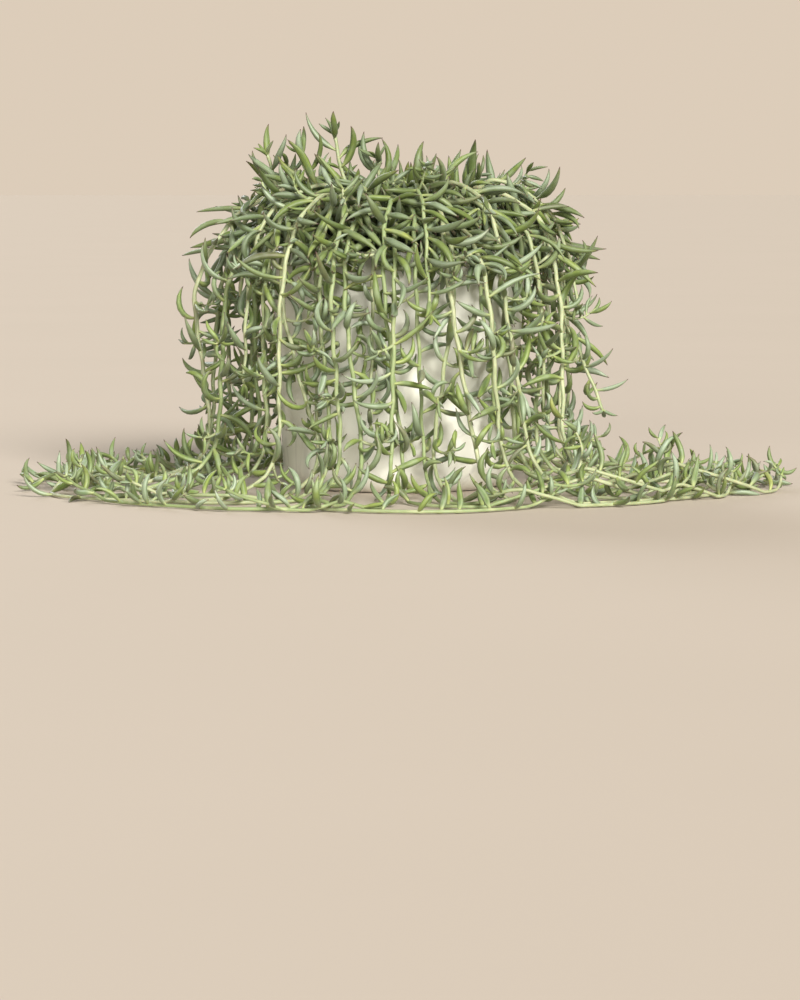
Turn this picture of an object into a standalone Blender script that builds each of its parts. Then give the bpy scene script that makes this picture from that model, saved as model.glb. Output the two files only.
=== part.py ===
"""A potted trailing succulent: a glazed pot, its potting soil, and the strands that rise from the soil.

The frame: the origin is the centre of the pot's flat base, +Z is up, and -Y is the front. Sizes are in metres.
Most strands climb out of the soil, hang over the rim and run out along the surface that the pot stands
on. The rest are upright shoots of the crown. Each strand is one body: its stem with the leaves that grow from it.
"""

import math
import random

import bmesh
import bpy
import numpy as np

# ---- Sizes, in metres and radians ---------------------------------------------------------------
GAP = 0.0003  # kept between pieces that touch

POT_HEIGHT = 0.141
POT_RIM_RADIUS = 0.076  # outside, at the rim
POT_FOOT_RADIUS = 0.069  # outside, just above the rounded bottom edge
POT_WALL = 0.005
POT_FLOOR = 0.007
POT_EDGE_ROUND = 0.013  # radius of the rounded bottom edge
POT_SIDES = 40
SOIL_BELOW_RIM = 0.016
SOIL_DOME = 0.005
SOIL_EDGE = 0.003  # how far the soil's edge slopes down to the pot's wall

STEM_RADIUS = 0.00135  # at the root
STEM_TIP_RADIUS = 0.0009
STEM_TOLERANCE = 0.0007  # how far a stem's straight lengths may leave its true curve
ROOT_CLEARANCE = 0.0008  # from the soil to the middle of a stem's lower end
STRAND_SPACING = 2 * (STEM_RADIUS + STEM_TOLERANCE) + 0.0007  # the least, between two centrelines
STEP = 0.0025  # between the points of a strand's centreline
TRIES = 160  # routes tried for a strand

TRAILING_STRANDS = 47
FRONT_SHARE = 0.30  # how much closer together the strands are at the front than on average
ARCH = (0.010, 0.042)  # how high the strands rise over the rim
CURTAIN_GAP = 0.009  # from the rim out to the nearest hanging strands
CURTAIN_DEPTH = 0.024  # from the nearest hanging strands to the furthest
LANDING_BEND = 0.020  # how far a strand runs outwards while it bends onto the surface
LENGTHS = (0.30, 0.58, 0.42)  # of the strands that reach the surface: least, most and usual
SHORT_LENGTHS = (0.165, 0.225)  # of those that end in the air, one strand in four
SPREAD_X = 0.226  # how far the strands lie from the pot's axis, to its sides
SPREAD_Y = 0.190  # and to its front and back
HUMP_SLOPE = 0.30  # of a lying strand where it passes over another
TIP_RISE = 0.007  # of a lying strand's growing tip

LEAF_LENGTH = 0.029  # of a full-grown leaf in the crown
LEAF_RADIUS = 0.0021  # half its thickness at its widest
LEAF_MARGIN = 0.0004  # kept between leaves, and from a leaf to other strands' stems
LEAF_BALLS = 11  # that stand for a leaf while it is given its place
LEAF_POINTS = 17  # along a leaf's middle line
LEAF_RINGS = [0, 5, 11, 16]  # those of them that its solid has a section at
LEAVES_ON_STRAND = 7
LEAVES_ON_SHOOT = 8

# Upright shoots of the crown: how far right and back of the axis each tip is, and how far above the rim.
SHOOT_TIPS = [
    (-0.042, -0.014, 0.068),
    (-0.078, -0.008, 0.056),
    (-0.062, -0.020, 0.058),
    (-0.014, -0.026, 0.054),
    (0.001, 0.010, 0.042),
    (0.032, -0.008, 0.042),
    (0.050, -0.018, 0.044),
    (0.082, -0.006, 0.024),
    (-0.012, 0.040, 0.048),
    (0.036, 0.044, 0.040),
    (-0.050, 0.046, 0.040),
]
# Strands that stand well away from the rest: azimuth, hanging radius, outward lean and length.
WIDE_STRANDS = {
    23: (math.radians(184), 0.120, -0.006, 0.50),
    21: (math.radians(168), 0.108, 0.006, 0.38),
    0: (math.radians(-4), 0.092, 0.042, 0.215),
    44: (math.radians(-24), 0.102, 0.010, 0.42),
}
UP = np.array([0.0, 0.0, 1.0])


# ---- The pot's outline ---------------------------------------------------------------------------
def pot_radius(height):
    """The pot's outside radius at a height, as if its bottom edge were sharp."""
    share = (height - POT_EDGE_ROUND) / (POT_HEIGHT - POT_EDGE_ROUND)
    return POT_FOOT_RADIUS + (POT_RIM_RADIUS - POT_FOOT_RADIUS) * np.clip(share, 0.0, 1.0)


def inner_radius(height):
    """The pot's inside radius, at heights above its rounded inner bottom edge."""
    return float(pot_radius(height)) - POT_WALL


SOIL_TOP = POT_HEIGHT - SOIL_BELOW_RIM
MOUTH_RADIUS = inner_radius(SOIL_TOP) - GAP


def soil_height(radius):
    return SOIL_TOP + SOIL_DOME * (1 - min(1.0, radius / MOUTH_RADIUS) ** 2)


def pot_gap(points, radii):
    """How far the nearest of some balls is from the pot and the soil; negative where one enters them."""
    reach = np.hypot(points[:, 0], points[:, 1])
    height = points[:, 2]
    above = height - radii - POT_HEIGHT
    beside = reach - radii - pot_radius(height)
    soil = SOIL_TOP + SOIL_DOME * (1 - np.minimum(1.0, reach / MOUTH_RADIUS) ** 2)
    within = np.minimum(MOUTH_RADIUS - reach - radii, height - radii - soil)
    return np.maximum(np.maximum(above, beside), within).min()


# ---- Curves --------------------------------------------------------------------------------------
def polar(radius, azimuth, height):
    return np.array([radius * math.cos(azimuth), radius * math.sin(azimuth), height])


def evenly(points, count):
    """So many points, evenly spread along a line of points, from its first to its last."""
    places = np.concatenate([[0.0], np.cumsum(np.linalg.norm(np.diff(points, axis=0), axis=1))])
    wanted = np.linspace(0.0, places[-1], count)
    return np.column_stack([np.interp(wanted, places, points[:, k]) for k in range(3)])


def smooth_curve(waypoints, step):
    """Points every step along a centripetal Catmull-Rom curve through the waypoints."""
    w = np.array(waypoints)
    p = np.vstack([2 * w[0] - w[1], w, 2 * w[-1] - w[-2]])
    dense = []
    for a, b, c, d in zip(p, p[1:], p[2:], p[3:]):
        t1 = math.sqrt(np.linalg.norm(b - a))
        t2 = t1 + math.sqrt(np.linalg.norm(c - b))
        t3 = t2 + math.sqrt(np.linalg.norm(d - c))
        t = np.linspace(t1, t2, 14)[:, None]
        ab = a * (t1 - t) / t1 + b * t / t1
        bc = b * (t2 - t) / (t2 - t1) + c * (t - t1) / (t2 - t1)
        cd = c * (t3 - t) / (t3 - t2) + d * (t - t2) / (t3 - t2)
        abc = ab * (t2 - t) / t2 + bc * t / t2
        bcd = bc * (t3 - t) / (t3 - t1) + cd * (t - t1) / (t3 - t1)
        dense.extend(abc * (t2 - t) / (t2 - t1) + bcd * (t - t1) / (t2 - t1))
    dense = np.array(dense)
    length = np.linalg.norm(np.diff(dense, axis=0), axis=1).sum()
    return evenly(dense, max(2, round(length / step) + 1))


def unit(vector):
    return vector / max(1e-12, np.linalg.norm(vector))


def rotated(vector, axis, angle):
    """The vector turned about a unit axis."""
    along = axis * np.dot(axis, vector) * (1 - math.cos(angle))
    return vector * math.cos(angle) + np.cross(axis, vector) * math.sin(angle) + along


def nearest_turn(angle):
    """The same angle, between minus half a turn and half a turn."""
    return (angle + math.pi) % (2 * math.pi) - math.pi


def tangents(line):
    ahead = np.vstack([line[1:], line[-1:]])
    behind = np.vstack([line[:1], line[:-1]])
    return (ahead - behind) / np.linalg.norm(ahead - behind, axis=1)[:, None]


def simplified(line, tolerance):
    """The places of the fewest points that keep every other point within the tolerance of the chords."""
    kept = {0, len(line) - 1}
    spans = [(0, len(line) - 1)]
    while spans:
        first, last = spans.pop()
        if last - first < 2:
            continue
        chord = unit(line[last] - line[first])
        inside = line[first + 1 : last] - line[first]
        away = np.linalg.norm(inside - np.outer(inside @ chord, chord), axis=1)
        furthest = int(np.argmax(away))
        if away[furthest] > tolerance:
            middle = first + 1 + furthest
            kept.add(middle)
            spans += [(first, middle), (middle, last)]
    return sorted(kept)


# ---- Where things are already ----------------------------------------------------------------------
class Balls:
    """The balls that stand for the stems and leaves placed so far, sorted into the cells of a grid."""

    CELL = 0.009

    def __init__(self):
        self.cells = {}

    def cell(self, point):
        return tuple(int(math.floor(x / self.CELL)) for x in point)

    def add(self, points, radii, owner):
        for (x, y, z), radius in zip(points.tolist(), radii.tolist()):
            self.cells.setdefault(self.cell((x, y, z)), []).append((x, y, z, radius, owner))

    def around(self, point):
        """The balls in the point's cell and in the cells next to it."""
        i, j, k = self.cell(point)
        for a in (i - 1, i, i + 1):
            for b in (j - 1, j, j + 1):
                for c in (k - 1, k, k + 1):
                    yield from self.cells.get((a, b, c), ())

    def room(self, points, radii, owner, enough):
        """The least gap to a ball of another owner. It stops looking once the gap is under enough."""
        least = 1.0
        for (x, y, z), radius in zip(points.tolist(), radii.tolist()):
            for u, v, w, other, whose in self.around((x, y, z)):
                if whose != owner:
                    apart = math.sqrt((x - u) ** 2 + (y - v) ** 2 + (z - w) ** 2)
                    least = min(least, apart - radius - other)
            if least < enough:
                return least
        return least


# ---- Strands ---------------------------------------------------------------------------------------
def stem_radii(count):
    """The stem's radius at each point of its centreline, thinner towards its tip."""
    share = np.linspace(0.0, 1.0, count)
    return STEM_RADIUS + (STEM_TIP_RADIUS - STEM_RADIUS) * share**1.5


def lying_line(start, heading, length, draw):
    """The plan of a strand along the surface: it leaves the pot outwards, then sweeps to one side."""
    aim = (0.0 if start[0] > draw.uniform(-0.03, 0.03) else math.pi) + draw.gauss(0.0, 0.6)
    sway, phase = draw.uniform(4.0, 15.0), draw.uniform(0.0, 2 * math.pi)
    wave = 2 * math.pi / draw.uniform(0.05, 0.12)
    room = draw.uniform(0.80, 1.0)
    x, y = start
    line = []
    for n in range(int(length / STEP)):
        edge = math.hypot(x / SPREAD_X, y / SPREAD_Y) / room
        wanted = aim
        pull = 9.0
        if edge > 0.86:
            outward = math.atan2(y / SPREAD_Y**2, x / SPREAD_X**2)
            side = 1.0 if nearest_turn(heading - outward) >= 0 else -1.0
            wanted = outward + side * (math.pi / 2 + 2.5 * (edge - 0.93))
            pull = 34.0
        turn = pull * nearest_turn(wanted - heading) + sway * math.sin(wave * n * STEP + phase)
        heading += STEP * max(-30.0, min(30.0, turn))
        x += STEP * math.cos(heading)
        y += STEP * math.sin(heading)
        line.append((x, y))
    return line


def trailing_route(number, attempt):
    """The centreline of a trailing strand, from its root over the rim and out along the surface."""
    draw = random.Random(7919 * number + attempt)
    azimuth = 2 * math.pi * (number + draw.uniform(-0.45, 0.45)) / TRAILING_STRANDS
    azimuth -= FRONT_SHARE * math.cos(azimuth)
    arch = draw.uniform(*ARCH)
    hang = POT_RIM_RADIUS + CURTAIN_GAP + CURTAIN_DEPTH * draw.random() ** 1.3
    lean = draw.uniform(-0.003, 0.009)
    length = draw.triangular(*LENGTHS)
    if number % 4 == 1:
        length = draw.uniform(*SHORT_LENGTHS)
    if number in WIDE_STRANDS:
        azimuth, hang, lean, length = WIDE_STRANDS[number]
        azimuth += draw.uniform(-0.05, 0.05)
        arch = 0.85 * ARCH[1]
    root = MOUTH_RADIUS * (0.84 - 0.62 * arch / ARCH[1] * draw.uniform(0.7, 1.0))
    twist = draw.uniform(-0.55, 0.55)
    drift = draw.gauss(0.0, 0.10)
    crest = POT_RIM_RADIUS * draw.uniform(0.55, 0.84)
    ground = STEM_RADIUS + GAP
    foot = polar(root, azimuth + twist, soil_height(root) + ROOT_CLEARANCE)
    line = smooth_curve(
        [
            foot,
            foot + 0.006 * UP,
            polar(0.5 * (root + crest), azimuth + 0.6 * twist, POT_HEIGHT + 0.55 * arch),
            polar(crest, azimuth + 0.2 * twist, POT_HEIGHT + arch),
            polar(0.6 * POT_RIM_RADIUS + 0.4 * hang, azimuth, POT_HEIGHT + 0.62 * arch),
            polar(hang, azimuth, POT_HEIGHT - 0.020),
            polar(hang + 0.5 * lean, azimuth + 0.5 * drift, 0.5 * POT_HEIGHT),
            polar(hang + lean, azimuth + drift, 1.3 * LANDING_BEND),
            polar(hang + lean + LANDING_BEND, azimuth + drift, ground),
        ],
        STEP,
    )
    line[:, 2] = np.maximum(line[:, 2], ground)
    spare = length - STEP * (len(line) - 1)
    if spare > STEP:
        outward = line[-1] - line[-4]
        heading = math.atan2(outward[1], outward[0])
        flat = lying_line((line[-1][0], line[-1][1]), heading, spare, draw)
        line = np.vstack([line, [(x, y, ground) for x, y in flat]])
    return line[: int(length / STEP)]


def laid_over(line, balls, number):
    """The strand with its lying part lifted, in long low humps, over the strands that lie under it."""
    lift = line[:, 2].copy()
    low = lift < 0.014
    for n in np.flatnonzero(low):
        x, y, _ = line[n]
        for u, v, w, _, whose in [*balls.around((x, y, 0.004)), *balls.around((x, y, 0.022))]:
            apart = math.hypot(x - u, y - v)
            if whose != number and w < 0.020 and apart < STRAND_SPACING:
                lift[n] = max(lift[n], w + math.sqrt(STRAND_SPACING**2 - apart**2))
    fall = HUMP_SLOPE * STEP
    for n in range(1, len(lift)):
        if low[n - 1]:
            lift[n] = max(lift[n], lift[n - 1] - fall)
    for n in range(len(lift) - 2, -1, -1):
        if low[n]:
            lift[n] = max(lift[n], lift[n + 1] - fall)
    return np.column_stack([line[:, :2], lift])


def with_raised_tip(line):
    """A lying strand turns its growing tip up over its last stretch."""
    raised = line.copy()
    stretch = 10
    if raised[-1, 2] < 0.02:
        raised[-stretch:, 2] += np.linspace(0.0, 1.0, stretch) ** 2 * TIP_RISE
    return raised


def roomiest(routes, number, balls):
    """The first of the routes that is clear of the pot and of the strands so far, or the clearest one."""
    best, best_room = None, -math.inf
    for line in routes:
        room = pot_gap(line[3:], stem_radii(len(line))[3:]) - STEM_TOLERANCE
        if room > best_room:
            beads = np.full(len(line), 0.5 * STRAND_SPACING)
            room = min(room, balls.room(line, beads, number, min(0.0, best_room)))
        if room > best_room:
            best, best_room = line, room
        if best_room >= 0.0:
            break
    balls.add(best, np.full(len(best), 0.5 * STRAND_SPACING), number)
    return best


def trailing_strands(balls):
    strands = []
    for number in range(TRAILING_STRANDS):
        routes = (
            with_raised_tip(laid_over(trailing_route(number, attempt), balls, number))
            for attempt in range(TRIES)
        )
        strands.append(roomiest(routes, number, balls))
    return strands


def shoot_route(place, attempt):
    """The centreline of an upright shoot of the crown, from the soil to its tip."""
    draw = random.Random(104729 * (place + 1) + attempt)
    across, back, rise = SHOOT_TIPS[place]
    nudge = 0.004 + 0.00008 * attempt
    tip = np.array([across, back, POT_HEIGHT + rise])
    tip += [draw.uniform(-nudge, nudge), draw.uniform(-nudge, nudge), 0.0]
    root = min(0.55 * math.hypot(across, back) + 0.006, 0.75 * MOUTH_RADIUS) * draw.uniform(0.75, 1.15)
    foot = polar(root, math.atan2(back, across) + draw.uniform(-0.6, 0.6), 0.0)
    foot[2] = soil_height(root) + ROOT_CLEARANCE
    bow = np.array([draw.uniform(-0.008, 0.008), draw.uniform(-0.008, 0.008), 0.008])
    return smooth_curve([foot, foot + 0.006 * UP, 0.5 * (foot + tip) + bow, tip], STEP)


def shoot_strands(balls):
    strands = []
    for place in range(len(SHOOT_TIPS)):
        routes = (shoot_route(place, attempt) for attempt in range(TRIES))
        strands.append(roomiest(routes, TRAILING_STRANDS + place, balls))
    return strands


# ---- Leaves ------------------------------------------------------------------------------------------
def leaf_line(base, start, curl, length, bend, count):
    """Points along a leaf's middle. It sets out along start and bends towards curl."""
    share = (np.arange(count - 1) + 0.5) / (count - 1)
    turned = bend * share**1.1
    steps = np.outer(np.cos(turned), start) + np.outer(np.sin(turned), curl)
    return np.vstack([base, base + np.cumsum(steps, axis=0) * length / (count - 1)])


def leaf_radii(count, radius, stalk):
    """A leaf's radius along its middle: a thin stalk, a full blade and a fine point."""
    share = np.linspace(0.0, 1.0, count)
    blade = radius * np.clip(np.sin(math.pi * share**0.8), 0.0, 1.0) ** 0.7
    return np.maximum(blade, np.where(share < 0.5, stalk, 0.0) + 0.00012)


def leaf_shape(line, place, turn, draw):
    """The way a leaf grows from its stem: start and curl directions, length, thickness and bend."""
    along = tangents(line)[place]
    side = np.cross(along, UP)
    if np.linalg.norm(side) < 0.3:
        side = np.cross(along, np.array([1.0, 0.0, 0.0]))
    outward = rotated(unit(side), along, turn)
    height = line[place][2]
    share = place / len(line)
    if height > POT_HEIGHT:
        start = unit(outward + 0.55 * along + 0.15 * UP)
        bend = draw.uniform(0.25, 1.5)
        length = LEAF_LENGTH * draw.uniform(0.78, 1.14)
    else:
        start = unit(outward + draw.uniform(-0.15, 0.35) * along)
        bend = draw.uniform(1.0, 2.7)
        length = LEAF_LENGTH * draw.uniform(0.62, 0.86)
    length *= 1.0 - 0.45 * max(0.0, share - 0.9) / 0.1
    curl = UP + draw.uniform(-0.5, 0.5) * unit(side)
    curl = unit(curl - np.dot(curl, start) * start)
    radius = LEAF_RADIUS * (length / LEAF_LENGTH) ** 0.6 * draw.uniform(0.85, 1.05)
    return start, curl, length, radius, bend


def grow_leaf(line, place, turn, owner, stem_owner, balls, draw):
    """A leaf at a place on a strand, turned until it has room, or None."""
    stalk = 0.6 * stem_radii(len(line))[place]
    for attempt in range(14):
        start, curl, length, radius, bend = leaf_shape(line, place, turn + 0.9 * attempt, draw)
        length *= 1.0 - 0.03 * attempt
        chords = leaf_line(line[place], start, curl, length, bend, LEAF_POINTS)[LEAF_RINGS]
        points = evenly(chords, LEAF_BALLS)[1:]
        radii = leaf_radii(LEAF_BALLS, radius, stalk)[1:]
        if min(pot_gap(points, radii), (points[:, 2] - radii).min()) < GAP:
            continue
        if balls.room(points, radii, stem_owner, LEAF_MARGIN) < LEAF_MARGIN:
            continue
        if balls.room(points[3:], radii[3:], owner, LEAF_MARGIN) < LEAF_MARGIN:
            continue
        balls.add(points, radii, owner)
        return place, start, curl, length, radius, bend, stalk
    return None


def leaf_places(line, count):
    """Evenly spread places for leaves, from just above the soil to the strand's tip."""
    first = min(10, len(line) // 4)
    return [round(x) for x in np.linspace(first, len(line) - 2, count)]


def straightened(line):
    """A strand's centreline as its solid has it, in straight lengths, with as many points as before."""
    return evenly(line[simplified(line, STEM_TOLERANCE)], len(line))


def grow_leaves(strands, counts):
    """The leaves of every strand, kept clear of all the stems and of each other."""
    balls = Balls()
    lines = [straightened(line) for line in strands]
    for number, line in enumerate(lines):
        balls.add(line, stem_radii(len(line)), number)
    leaves = []
    for number, line in enumerate(lines):
        draw = random.Random(5 + 31 * number)
        turn = draw.uniform(0.0, 2 * math.pi)
        grown = []
        for order, place in enumerate(leaf_places(line, counts[number])):
            turn += 2.4 + draw.uniform(-0.4, 0.4)
            leaf = grow_leaf(line, place, turn, (number, order), number, balls, draw)
            if leaf is not None:
                grown.append(leaf)
        leaves.append(grown)
    return leaves


# ---- Solids ----------------------------------------------------------------------------------------------
def principled(name, colour, roughness):
    material = bpy.data.materials.new(name)
    material.use_nodes = True
    shader = material.node_tree.nodes["Principled BSDF"]
    shader.inputs["Base Color"].default_value = (*colour, 1.0)
    shader.inputs["Roughness"].default_value = roughness
    shader.inputs["Metallic"].default_value = 0.0
    return material


def corner(centre_radius, centre_height, radius, first, last, count):
    """Points of a profile round an arc, between two angles."""
    return [
        (centre_radius + radius * math.cos(a), centre_height + radius * math.sin(a))
        for a in np.linspace(first, last, count)
    ]


def pot_profile():
    """The pot's half section, from the middle of its floor, over the rim, to the middle of its base."""
    lip = 0.5 * POT_WALL
    inner_round = POT_EDGE_ROUND - POT_WALL
    inner_edge = inner_radius(POT_FLOOR + inner_round) - inner_round
    foot_edge = POT_FOOT_RADIUS - POT_EDGE_ROUND
    quarter = math.pi / 2
    return [
        (0.0, POT_FLOOR),
        *corner(inner_edge, POT_FLOOR + inner_round, inner_round, -quarter, 0.0, 3),
        *corner(POT_RIM_RADIUS - lip, POT_HEIGHT - lip, lip, 2 * quarter, 0.0, 5),
        *corner(foot_edge, POT_EDGE_ROUND, POT_EDGE_ROUND, 0.0, -quarter, 5),
        (0.0, 0.0),
    ]


def soil_profile():
    """The soil's half section: a low dome on top, and the pot's inside less a gap below."""
    low = POT_FLOOR + GAP
    inner_round = POT_EDGE_ROUND - POT_WALL
    inner_edge = inner_radius(POT_FLOOR + inner_round) - GAP - inner_round
    shares = (0.25, 0.5, 0.75, 0.97)
    return [
        (0.0, soil_height(0.0)),
        *((MOUTH_RADIUS * share, soil_height(MOUTH_RADIUS * share)) for share in shares),
        (inner_radius(SOIL_TOP - SOIL_EDGE) - GAP, SOIL_TOP - SOIL_EDGE),
        *corner(inner_edge, low + inner_round, inner_round, 0.0, -math.pi / 2, 3),
        (0.0, low),
    ]


def turned(name, profile, material, collection):
    """A solid of revolution about the Z axis."""
    mesh = bpy.data.meshes.new(name)
    mesh.from_pydata([(r, 0.0, z) for r, z in profile], [(n, n + 1) for n in range(len(profile) - 1)], [])
    mesh.materials.append(material)
    made = bpy.data.objects.new(name, mesh)
    collection.objects.link(made)
    screw = made.modifiers.new("turn", "SCREW")
    screw.axis = "Z"
    screw.steps = POT_SIDES
    screw.render_steps = POT_SIDES
    screw.use_merge_vertices = True
    screw.merge_threshold = 0.00001
    screw.use_smooth_shade = True
    return made


def leaf_outline(guides):
    """The section of a leaf, a triangle that the leaf's thickness scales: it is keeled, not round."""
    curve = bpy.data.curves.new("leaf_outline", "CURVE")
    curve.dimensions = "2D"
    spline = curve.splines.new("POLY")
    spline.points.add(2)
    for k, point in enumerate(spline.points):
        angle = 2 * math.pi * k / 3
        point.co = (math.cos(angle), math.sin(angle), 0.0, 1.0)
    spline.use_cyclic_u = True
    outline = bpy.data.objects.new("leaf_outline", curve)
    outline.hide_render = True
    guides.objects.link(outline)
    return outline


def tubes(name, lines, radii, outline, material, collection):
    """Closed tubes along lines, one radius to a point, as one mesh. With no outline they are square."""
    curve = bpy.data.curves.new(name, "CURVE")
    curve.dimensions = "3D"
    curve.use_fill_caps = True
    if outline is None:
        curve.bevel_depth = 1.0
        curve.bevel_resolution = 0
    else:
        curve.bevel_mode = "OBJECT"
        curve.bevel_object = outline
    for line, sizes in zip(lines, radii):
        spline = curve.splines.new("POLY")
        spline.points.add(len(line) - 1)
        for point, place, size in zip(spline.points, line, sizes):
            point.co = (*place, 1.0)
            point.radius = size
    guide = bpy.data.objects.new(name + "_line", curve)
    collection.objects.link(guide)
    mesh = bpy.data.meshes.new_from_object(guide.evaluated_get(bpy.context.evaluated_depsgraph_get()))
    mesh.name = name
    bpy.data.objects.remove(guide)
    shape = bmesh.new()
    shape.from_mesh(mesh)
    bmesh.ops.remove_doubles(shape, verts=shape.verts, dist=0.00001)
    bmesh.ops.recalc_face_normals(shape, faces=shape.faces)
    shape.to_mesh(mesh)
    shape.free()
    mesh.materials.clear()
    mesh.materials.append(material)
    mesh.shade_smooth()
    made = bpy.data.objects.new(name, mesh)
    collection.objects.link(made)
    return made


def make_strand(name, line, leaves, outline, material, parts, cutters):
    """One strand: the stem united with its leaves."""
    kept = simplified(line, STEM_TOLERANCE)
    stem = tubes(name, [line[kept]], [stem_radii(len(line))[kept]], None, material, parts)
    bases = straightened(line)
    blades, sizes = [], []
    for place, start, curl, length, radius, bend, stalk in leaves:
        middle = leaf_line(bases[place], start, curl, length, bend, LEAF_POINTS)
        thickness = leaf_radii(LEAF_POINTS, radius, stalk)
        thickness[-1] = 0.0
        blades.append(middle[LEAF_RINGS])
        sizes.append(thickness[LEAF_RINGS])
    foliage = tubes(name + "_leaves", blades, sizes, outline, material, cutters)
    foliage.hide_render = True
    foliage.display_type = "WIRE"
    union = stem.modifiers.new("leaves", "BOOLEAN")
    union.operation = "UNION"
    # EXACT leaves corners too close together where a leaf's edge passes all but through a stem's.
    union.solver = "MANIFOLD"
    union.object = foliage


def strand_name(number):
    if number < TRAILING_STRANDS:
        return f"trailing_strand_{number + 1:02d}"
    return f"crown_shoot_{number - TRAILING_STRANDS + 1:02d}"


def main():
    for old in list(bpy.context.scene.objects):
        bpy.data.objects.remove(old)
    parts = bpy.data.collections.new("potted_trailing_succulent")
    cutters = bpy.data.collections.new("leaves_to_unite")
    for collection in (parts, cutters):
        bpy.context.scene.collection.children.link(collection)

    glaze = principled("glaze", (0.80, 0.77, 0.70), 0.22)
    soil = principled("soil", (0.045, 0.030, 0.020), 0.95)
    foliage = principled("foliage", (0.27, 0.36, 0.17), 0.5)

    turned("ceramic_pot", pot_profile(), glaze, parts)
    turned("potting_soil", soil_profile(), soil, parts)

    balls = Balls()
    strands = trailing_strands(balls) + shoot_strands(balls)
    counts = [LEAVES_ON_STRAND] * TRAILING_STRANDS + [LEAVES_ON_SHOOT] * len(SHOOT_TIPS)
    outline = leaf_outline(cutters)
    for number, (line, leaves) in enumerate(zip(strands, grow_leaves(strands, counts))):
        make_strand(strand_name(number), line, leaves, outline, foliage, parts, cutters)


main()
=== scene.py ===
"""The looks of the potted trailing succulent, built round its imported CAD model.

The strands are grown by the same rules as the CAD model's, so each piece lies where its CAD node lies. Then
their many other leaves are added. Sizes are in metres, +Z is up and the front faces -Y.
"""

import math
import random
from collections import namedtuple

import bmesh
import bpy
import numpy as np
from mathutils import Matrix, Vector
from mathutils.kdtree import KDTree
from mathutils.noise import fractal


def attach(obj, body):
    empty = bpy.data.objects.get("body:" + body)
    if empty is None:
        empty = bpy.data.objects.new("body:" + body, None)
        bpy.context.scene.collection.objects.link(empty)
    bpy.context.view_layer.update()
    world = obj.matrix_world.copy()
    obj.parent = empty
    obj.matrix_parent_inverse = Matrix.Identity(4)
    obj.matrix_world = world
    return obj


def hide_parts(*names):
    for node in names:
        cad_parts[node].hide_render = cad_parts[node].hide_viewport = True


# ---- Sizes, in metres and radians ----
GAP = 0.0003  # kept between pieces that touch
TURN = 2 * math.pi

POT_HEIGHT = 0.141
POT_RIM_RADIUS = 0.076  # outside, at the rim
POT_FOOT_RADIUS = 0.069  # outside, just above the rounded bottom edge
POT_WALL = 0.005
POT_FLOOR = 0.007
POT_EDGE_ROUND = 0.013  # radius of the rounded bottom edge
SOIL_BELOW_RIM = 0.016
SOIL_DOME = 0.005
SOIL_EDGE = 0.003  # how far the soil's edge slopes down to the pot's wall

STEM_RADIUS = 0.00135  # at the root
STEM_TIP_RADIUS = 0.0009
STEM_TOLERANCE = 0.0007  # how far a stem's straight lengths may leave its true curve
ROOT_CLEARANCE = 0.0008  # from the soil to the middle of a stem's lower end
STRAND_SPACING = 2 * (STEM_RADIUS + STEM_TOLERANCE) + 0.0007  # the least, between two centrelines
STEP = 0.0025  # between the points of a strand's centreline
SPAN_POINTS = 14  # of a curve, from each waypoint to the next, before it is spread evenly
TRIES = 160  # routes tried for a strand

TRAILING_STRANDS = 47
FRONT_SHARE = 0.30  # how much closer together the strands are at the front than on average
ARCH = (0.010, 0.042)  # how high the strands rise over the rim
CURTAIN_GAP = 0.009  # from the rim out to the nearest hanging strands
CURTAIN_DEPTH = 0.024  # from the nearest hanging strands to the furthest
LANDING_BEND = 0.020  # how far a strand runs outwards while it bends onto the surface
LENGTHS = (0.30, 0.58, 0.42)  # of the strands that reach the surface: least, most and usual
SHORT_LENGTHS = (0.165, 0.225)  # of those that end in the air, one strand in four
SPREAD_X = 0.226  # how far the strands lie from the pot's axis, to its sides
SPREAD_Y = 0.190  # and to its front and back
HUMP_SLOPE = 0.30  # of a lying strand where it passes over another
TIP_RISE = 0.007  # of a lying strand's growing tip
TIP_STEPS = 10  # over which it rises
ON_SURFACE = 0.014  # strands lower than this are lifted over others
LIFT_LIMIT = 0.020  # over strands no higher than this

LEAF_LENGTH = 0.029  # of a full-grown leaf in the crown
LEAF_RADIUS = 0.0021  # half its thickness at its widest
LEAF_MARGIN = 0.0004  # kept between leaves, and from a leaf to other strands' stems
LEAF_BALLS = 11  # that stand for a leaf while it is given its place
LEAF_POINTS = 17  # along a leaf's middle line
LEAF_RINGS = [0, 5, 11, 16]  # those of them that its solid has a section at
LEAF_TURN = 2.4  # round the stem, from each leaf to the next
STALK_SHARE = 0.6  # a stalk's radius, of its stem's
LATE_BEND = 1.1  # how much of a leaf's bend is in its outer part; 1 is none
SHORTENING = 0.03  # of a leaf, each time it is turned to find room
LEAVES_ON_STRAND = 7
LEAVES_ON_SHOOT = 8

# Upright shoots of the crown: how far right and back of the axis each tip is, and how far above the rim.
SHOOT_TIPS = [
    (-0.042, -0.014, 0.068),
    (-0.078, -0.008, 0.056),
    (-0.062, -0.020, 0.058),
    (-0.014, -0.026, 0.054),
    (0.001, 0.010, 0.042),
    (0.032, -0.008, 0.042),
    (0.050, -0.018, 0.044),
    (0.082, -0.006, 0.024),
    (-0.012, 0.040, 0.048),
    (0.036, 0.044, 0.040),
    (-0.050, 0.046, 0.040),
]
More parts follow.
